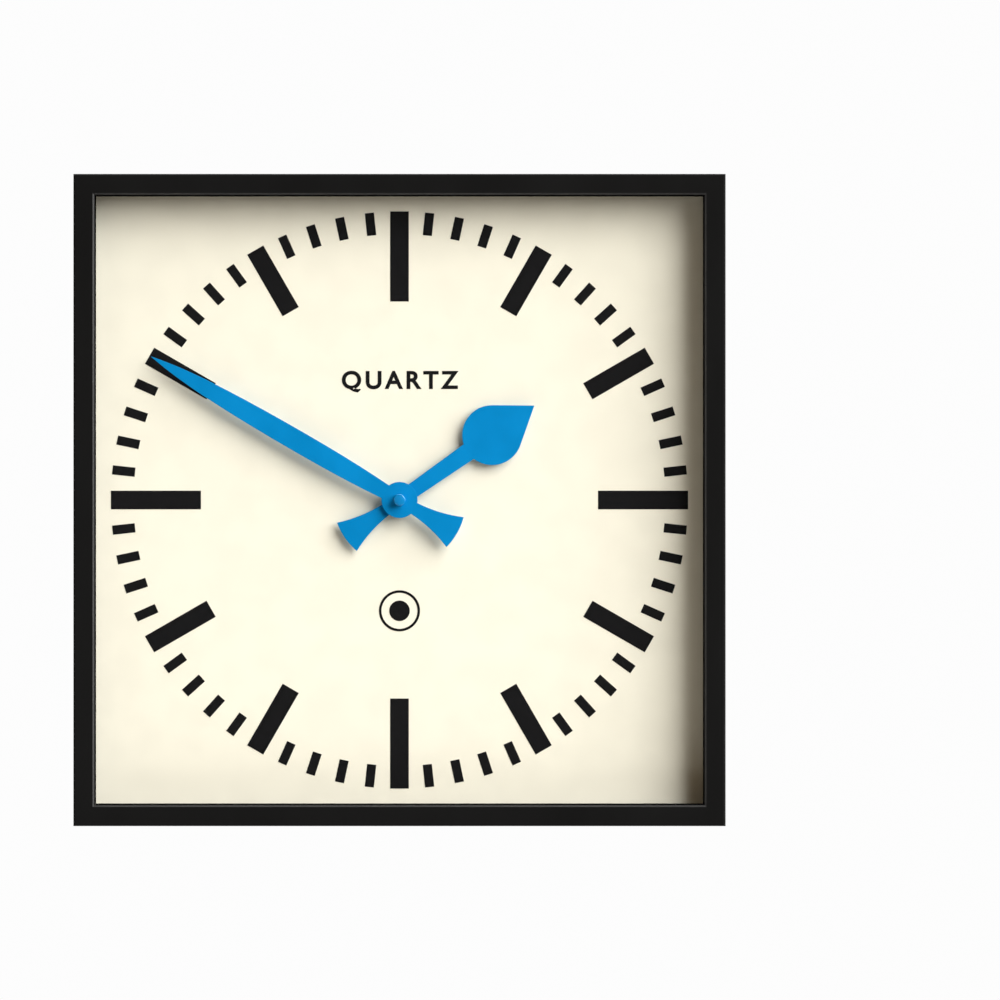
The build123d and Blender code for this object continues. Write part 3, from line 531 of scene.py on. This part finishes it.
looks = {
    "case_plastic": moulded(
        "case_plastic", roughness=0.5, grain=0.35 * mm, relief=0.010 * mm,
        colour_factor=0.5, specular=0.08, matt_within=reveal,
    ),
    "foam_tape": foam("foam_tape"),
    "lens_glass": pane("lens_glass"),
    "spacer_plastic": moulded(
        "spacer_plastic", roughness=0.62, grain=0.3 * mm, relief=0.012 * mm,
        colour_factor=0.6, specular=0.16, matt_within=reveal,
    ),
    "dial_board": dial_board("dial_board"),
    "dial_ink": ink("dial_ink"),
    "cover_plastic": moulded(
        "cover_plastic", roughness=0.58, grain=0.6 * mm, relief=0.05 * mm,
        colour_factor=1.2, specular=0.35,
    ),
    "zinc_steel": plated("zinc_steel", hue=(0.45, 0.5, 0.62), crystal_contrast=0.28),
    "rivet_aluminium": plated("rivet_aluminium", spangle=0.8 * mm, roughness=0.28),
    "movement_plastic": moulded(
        "movement_plastic", roughness=0.42, grain=0.25 * mm, relief=0.012 * mm, colour_factor=1.3,
    ),
    "plate_plastic": moulded(
        "plate_plastic", roughness=0.45, grain=0.25 * mm, relief=0.010 * mm,
        specular=0.45, wear=0.15,
    ),
    "gasket_rubber": rubber("gasket_rubber"),
    "brass": turned("brass"),
    "board_laminate": laminate("board_laminate"),
    "chip_epoxy": moulded(
        "chip_epoxy", roughness=0.6, grain=0.12 * mm, relief=0.012 * mm, specular=0.4,
    ),
    "crystal_can": plated(
        "crystal_can", grain_turn=90, spangle=1.2 * mm, brushing=0.5, roughness=0.26,
    ),
    "bobbin_plastic": moulded(
        "bobbin_plastic", roughness=0.4, grain=0.2 * mm, relief=0.008 * mm,
        specular=0.45, wear=0.15,
    ),
    "copper_wire": winding("copper_wire"),
    "core_steel": plated("core_steel", spangle=0.9 * mm, brushing=0.5, roughness=0.4),
    "magnet_ferrite": sintered("magnet_ferrite"),
    "wheel_plastic": moulded(
        "wheel_plastic", roughness=0.36, grain=0.2 * mm, relief=0.006 * mm,
        specular=0.45, wear=0.12,
    ),
    "knob_plastic": moulded(
        "knob_plastic", roughness=0.4, grain=0.25 * mm, relief=0.010 * mm,
        specular=0.45, wear=0.2,
    ),
    "hand_paint": lacquer("hand_paint"),
    "battery_sleeve": battery_print("battery_sleeve"),
    "contact_nickel": plated(
        "contact_nickel", spangle=1.5 * mm, brushing=0.3, roughness=0.3, hue=(0.6, 0.54, 0.42),
    ),
}

for name, obj in frame["nodes"].items():
    obj.data.materials.clear()
    obj.data.materials.append(looks[slot_of[name]])

# ---------------------------------------------------------------- mesh toolkit

weld = 0.001 * mm  # corners nearer to each other than this are one


def meshed(name, shape, sharp_from=35):
    """Mesh from a bmesh, smooth except along edges that turn by more than an angle in degrees."""
    bmesh.ops.recalc_face_normals(shape, faces=shape.faces)
    for face in shape.faces:
        face.smooth = True
    for edge in shape.edges:
        edge.smooth = edge.is_manifold and edge.calc_face_angle(0) < radians(sharp_from)
    mesh = bpy.data.meshes.new(name)
    shape.to_mesh(mesh)
    shape.free()
    return mesh


def add_piece(mesh, slot, body, *replaced):
    """Put a mesh on a body, with a slot's material; it may stand for CAD nodes."""
    piece = bpy.data.objects.new(mesh.name, mesh)
    scene.collection.objects.link(piece)
    mesh.materials.clear()
    mesh.materials.append(looks[slot])
    normals = piece.modifiers.new("flat_faces", "WEIGHTED_NORMAL")
    normals.keep_sharp = True
    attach(piece, body)
    if replaced:
        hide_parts(*replaced)
    return piece


def soften(node, name, radius, steps=3, least_angle=38):
    """A copy of a CAD node with its sharp edges rounded, which stands for the node."""
    shape = bmesh.new()
    shape.from_mesh(frame["nodes"][node].data)
    bmesh.ops.remove_doubles(shape, verts=shape.verts, dist=weld)
    bmesh.ops.dissolve_limit(
        shape, angle_limit=radians(0.5), verts=shape.verts, edges=shape.edges
    )
    sharp = [
        edge for edge in shape.edges
        if edge.is_manifold and edge.calc_face_angle(0) > radians(least_angle)
    ]
    bmesh.ops.bevel(
        shape, geom=sharp, offset=radius, segments=steps, profile=0.5,
        affect="EDGES", clamp_overlap=True,
    )
    body = frame["nodes"][node]["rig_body"]
    return add_piece(meshed(name, shape), slot_of[node], body, node)


def rounded(height, radius, bend, start, end, steps=6):
    """Profile points along an arc of radius bend about (height, radius), between two angles."""
    angles = [radians(start + (end - start) * step / steps) for step in range(steps + 1)]
    return [(height + bend * cos(angle), radius + bend * sin(angle)) for angle in angles]


def lathe(name, profile, foot, axis, steps=72):
    """Mesh turned from (height, radius) points about an axis that starts at its foot."""
    shape = bmesh.new()
    angles = [2 * pi * step / steps for step in range(steps)]
    rings = []
    for height, radius in profile:
        around = angles if radius > 0 else angles[:1]
        rings.append(
            [shape.verts.new((radius * cos(a), radius * sin(a), height)) for a in around]
        )
    for lower, upper in zip(rings, rings[1:]):
        for step in range(steps):
            after = (step + 1) % steps
            corners = (
                lower[step % len(lower)], lower[after % len(lower)],
                upper[after % len(upper)], upper[step % len(upper)],
            )
            shape.faces.new(dict.fromkeys(corners))
    bmesh.ops.remove_doubles(shape, verts=shape.verts, dist=0.1 * weld)
    turn = Vector(axis).to_track_quat("Z", "Y").to_matrix().to_4x4()
    shape.transform(Matrix.Translation(foot) @ turn)
    return meshed(name, shape)


def raised_shape(name, outlines, depth, height):
    """Low relief on a rear face: closed (x, z) outlines, standing off a depth towards the wall."""
    shape = bmesh.new()
    for outline in outlines:
        base = [shape.verts.new((x, depth, z)) for x, z in outline]
        face = shape.faces.new(base)
        top = bmesh.ops.extrude_face_region(shape, geom=[face])
        moved = [item for item in top["geom"] if isinstance(item, bmesh.types.BMVert)]
        bmesh.ops.translate(shape, verts=moved, vec=(0, height, 0))
    tops = [
        edge for edge in shape.edges
        if all(abs(vert.co.y - depth - height) < weld for vert in edge.verts)
    ]
    bmesh.ops.bevel(
        shape, geom=tops, offset=0.3 * height, segments=2, affect="EDGES", clamp_overlap=True
    )
    return meshed(name, shape)


# ---------------------------------------------------------------- dial printing

lettering_rise = 61.2 * mm  # middle of the word above the axis of the hands
cap_height = 8.3 * mm
cap_share = 0.665  # of the font's size
letter_spacing = 1.28  # of the font's own
letter_swell = 0.36 * mm  # thickens each stroke, on both sides
ink_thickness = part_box("hour_markers")[1].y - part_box("hour_markers")[0].y


def printed_word(word):
    """Generic word in spaced sans capitals, as a layer of ink on the dial."""
    curve = bpy.data.curves.new("lettering", "FONT")
    curve.body = word
    curve.size = cap_height / cap_share
    curve.space_character = letter_spacing
    curve.offset = letter_swell
    curve.extrude = ink_thickness / 2
    curve.align_x = "CENTER"
    writing = bpy.data.objects.new("lettering", curve)
    scene.collection.objects.link(writing)
    graph = bpy.context.evaluated_depsgraph_get()
    mesh = bpy.data.meshes.new_from_object(writing.evaluated_get(graph))
    bpy.data.objects.remove(writing)
    shape = bmesh.new()
    shape.from_mesh(mesh)
    bmesh.ops.remove_doubles(shape, verts=shape.verts, dist=weld)
    upright = Matrix.Rotation(radians(90), 4, "X")
    dial_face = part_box("dial_plate")[0].y
    place = (0, dial_face - ink_thickness / 2, lettering_rise - cap_height / 2)
    shape.transform(Matrix.Translation(place) @ upright)
    return meshed("dial_lettering", shape)


add_piece(printed_word("QUARTZ"), "dial_ink", "clock")

# ---------------------------------------------------------------- hands

soften("minute_hand", "minute_hand_blade", 0.12 * mm)
soften("hour_hand", "hour_hand_blade", 0.12 * mm)

cap_low, cap_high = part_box("hand_cap_nut")
cap_radius = (cap_high.x - cap_low.x) / 2
cap_height_over_hand = cap_high.y - cap_low.y
cap_bend = 0.55 * mm
cap_crown = 0.04 * mm
cap_profile = [
    (0, 0), (0, cap_radius),
    *rounded(cap_height_over_hand - cap_crown - cap_bend, cap_radius - cap_bend, cap_bend, 90, 12),
    (cap_height_over_hand, 0),
]
cap_mesh = lathe("hand_cap", cap_profile, (0, cap_high.y, 0), (0, -1, 0))
add_piece(cap_mesh, "hand_paint", "minute_group", "hand_cap_nut")

# ---------------------------------------------------------------- back of the clock

soften("rear_cover", "rear_cover_panel", 0.3 * mm)
soften("hanger_plate", "hanger_stamping", 0.25 * mm)
soften("hanger_rivets", "hanger_rivet_heads", 0.28 * mm, steps=4)
soften("movement_rear_cover", "movement_back", 0.2 * mm)
soften("movement_housing", "movement_shell", 0.25 * mm)
soften("setting_knob", "setting_knob_turned", 0.12 * mm, steps=2)
soften("rear_cover_screws", "cover_screws", 0.15 * mm, steps=2)

# Signs moulded on the back of the movement: battery poles, and the way the knob turns
sign_height = 0.5 * mm
sign_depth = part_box("movement_rear_cover")[1].y
pole_z = -7 * mm
pole_x = 21 * mm
pole_length = 3.4 * mm
pole_width = 0.9 * mm
knob_low, knob_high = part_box("setting_knob")
knob_x = (knob_low.x + knob_high.x) / 2
knob_z = (knob_low.z + knob_high.z) / 2
arrow_radius = 7.2 * mm
arrow_width = 0.8 * mm


def bar(x, z, length, height):
    """Upright rectangle as an outline."""
    return [
        (x - length / 2, z - height / 2), (x + length / 2, z - height / 2),
        (x + length / 2, z + height / 2), (x - length / 2, z + height / 2),
    ]


def plus_sign(x, z, length, width):
    """Plus sign as one outline of twelve corners."""
    near, far = width / 2, length / 2
    arm = [(near, far), (near, near), (far, near)]
    points = []
    for quarter in range(4):
        turn = radians(-90 * quarter)
        for across, up in arm:
            points.append((
                x + across * cos(turn) - up * sin(turn), z + across * sin(turn) + up * cos(turn),
            ))
    return points


def arc_arrow(x, z, radius, width, start, end, head_angle=16, steps=24):
    """Curved arrow about a point, as two outlines: the band and its head."""

    def at(distance, angle):
        return x + distance * cos(angle), z + distance * sin(angle)

    angles = [radians(start + (end - start) * step / steps) for step in range(steps + 1)]
    outer = [at(radius + width / 2, angle) for angle in angles]
    inner = [at(radius - width / 2, angle) for angle in angles]
    last = angles[-1]
    half_head = 1.6 * width
    head = [
        at(radius - half_head, last), at(radius + half_head, last),
        at(radius, last + radians(head_angle)),
    ]
    return [outer + inner[::-1], head]


signs = [
    plus_sign(pole_x, pole_z, pole_length, pole_width),
    bar(-pole_x, pole_z, pole_length, pole_width),
    *arc_arrow(knob_x, knob_z, arrow_radius, arrow_width, start=20, end=150),
]
sign_mesh = raised_shape("movement_signs", signs, sign_depth, sign_height)
add_piece(sign_mesh, "movement_plastic", "clock")

# ---------------------------------------------------------------- battery

battery_low, battery_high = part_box("battery")
battery_radius = (battery_high.z - battery_low.z) / 2
battery_foot = (battery_low.x, (battery_low.y + battery_high.y) / 2,
                (battery_low.z + battery_high.z) / 2)
nub_radius = 2.75 * mm
nub_length = 1.3 * mm
nub_bend = 0.4 * mm
can_length = battery_high.x - battery_low.x - nub_length
film = 0.12 * mm
can_radius = battery_radius - film
can_bend = 0.6 * mm
can_foot = 0.08 * mm  # the can's negative end is sunk this far into the film
dimple = 0.25 * mm  # the middle of the negative end is sunk further
dimple_radius = 4.2 * mm
dimple_rim = 4.5 * mm
seal_outside = 5.6 * mm
can_shoulder = can_length - 0.3 * mm
groove_floor = can_length - 0.6 * mm  # the seal lies in a groove round the nub
groove_draft = 0.2 * mm  # its outer wall leans in this far
nub_draft = 0.1 * mm  # the nub is this much wider at the floor of the groove
seal_bend = 0.25 * mm
seal_inside = nub_radius + 0.2 * mm
seal_top = can_length - 0.4 * mm + seal_bend
sleeve_hole = 6.0 * mm  # radius of the film's two open ends
sleeve_end = can_length - 0.1 * mm

can_profile = [
    (dimple, 0), (dimple, dimple_radius), (can_foot, dimple_rim),
    *rounded(can_foot + can_bend, can_radius - can_bend, can_bend, 180, 90),
    *rounded(can_shoulder - can_bend, can_radius - can_bend, can_bend, 90, 0),
    (can_shoulder, seal_outside), (groove_floor, seal_outside - groove_draft),
    (groove_floor, nub_radius + nub_draft), (can_shoulder, nub_radius),
    *rounded(can_length + nub_length - nub_bend, nub_radius - nub_bend, nub_bend, 90, 0),
    (can_length + nub_length, 0),
]
seal_profile = [
    (groove_floor, seal_inside), (groove_floor + seal_bend, seal_inside + nub_draft),
    *rounded(seal_top - seal_bend, seal_outside - 2 * seal_bend, seal_bend, 0, 90, 4),
    (groove_floor, seal_outside - seal_bend),
]
seal_profile.append(seal_profile[0])
sleeve_bend = can_bend + film
bend_radius = battery_radius - sleeve_bend  # of the centre of the film's bends
sleeve_profile = [
    (0, sleeve_hole), *rounded(sleeve_bend, bend_radius, sleeve_bend, 180, 90),
    *rounded(sleeve_end - sleeve_bend, bend_radius, sleeve_bend, 90, 0),
    (sleeve_end, sleeve_hole), (sleeve_end - film, sleeve_hole),
    *rounded(sleeve_end - sleeve_bend, bend_radius, can_bend, 0, 90),
    *rounded(sleeve_bend, bend_radius, can_bend, 90, 180), (film, sleeve_hole),
]
sleeve_profile.append(sleeve_profile[0])
along_x = (1, 0, 0)
add_piece(lathe("battery_film", sleeve_profile, battery_foot, along_x), "battery_sleeve",
          "battery", "battery")
add_piece(lathe("battery_can", can_profile, battery_foot, along_x), "contact_nickel", "battery")
add_piece(lathe("battery_seal", seal_profile, battery_foot, along_x), "gasket_rubber", "battery")

# ---------------------------------------------------------------- drive coil

coil_low, coil_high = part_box("drive_coil")
coil_radius = (coil_high.x - coil_low.x) / 2
coil_bore = 1.7 * mm
wire = 0.24 * mm
coil_length = coil_high.z - coil_low.z
turn_count = int(coil_length / wire)
layer = [(0, coil_bore), (0, coil_radius - wire / 2)]
for turn in range(turn_count):
    middle = (turn + 0.5) * coil_length / turn_count
    layer += rounded(middle, coil_radius - wire / 2, wire / 2, 165, 15, 4)
layer += [(coil_length, coil_radius - wire / 2), (coil_length, coil_bore), layer[0]]
coil_foot = ((coil_low.x + coil_high.x) / 2, (coil_low.y + coil_high.y) / 2, coil_low.z)
add_piece(lathe("drive_coil_winding", layer, coil_foot, (0, 0, 1), 48), "copper_wire",
          "clock", "drive_coil")

# ---------------------------------------------------------------- floor

floor_drop = 1.2  # below the axis of the hands
floor_radius = 1.8
floor_look = Look("floor_paper")
grain = floor_look.noise(0.03, 4)
floor_colour = floor_look.blend(grain, (0.52, 0.52, 0.51), (0.56, 0.56, 0.55))
floor_look.finish(floor_colour, 0.8, 0.0, floor_look.bump(grain, 0.2 * mm), 0.2)
floor_shape = bmesh.new()
bmesh.ops.create_circle(floor_shape, cap_ends=True, segments=128, radius=floor_radius)
floor_shape.transform(Matrix.Translation((0, 0, -floor_drop)))
floor_mesh = meshed("floor", floor_shape)
floor_mesh.materials.append(floor_look.material)
floor = bpy.data.objects.new("floor", floor_mesh)
scene.collection.objects.link(floor)
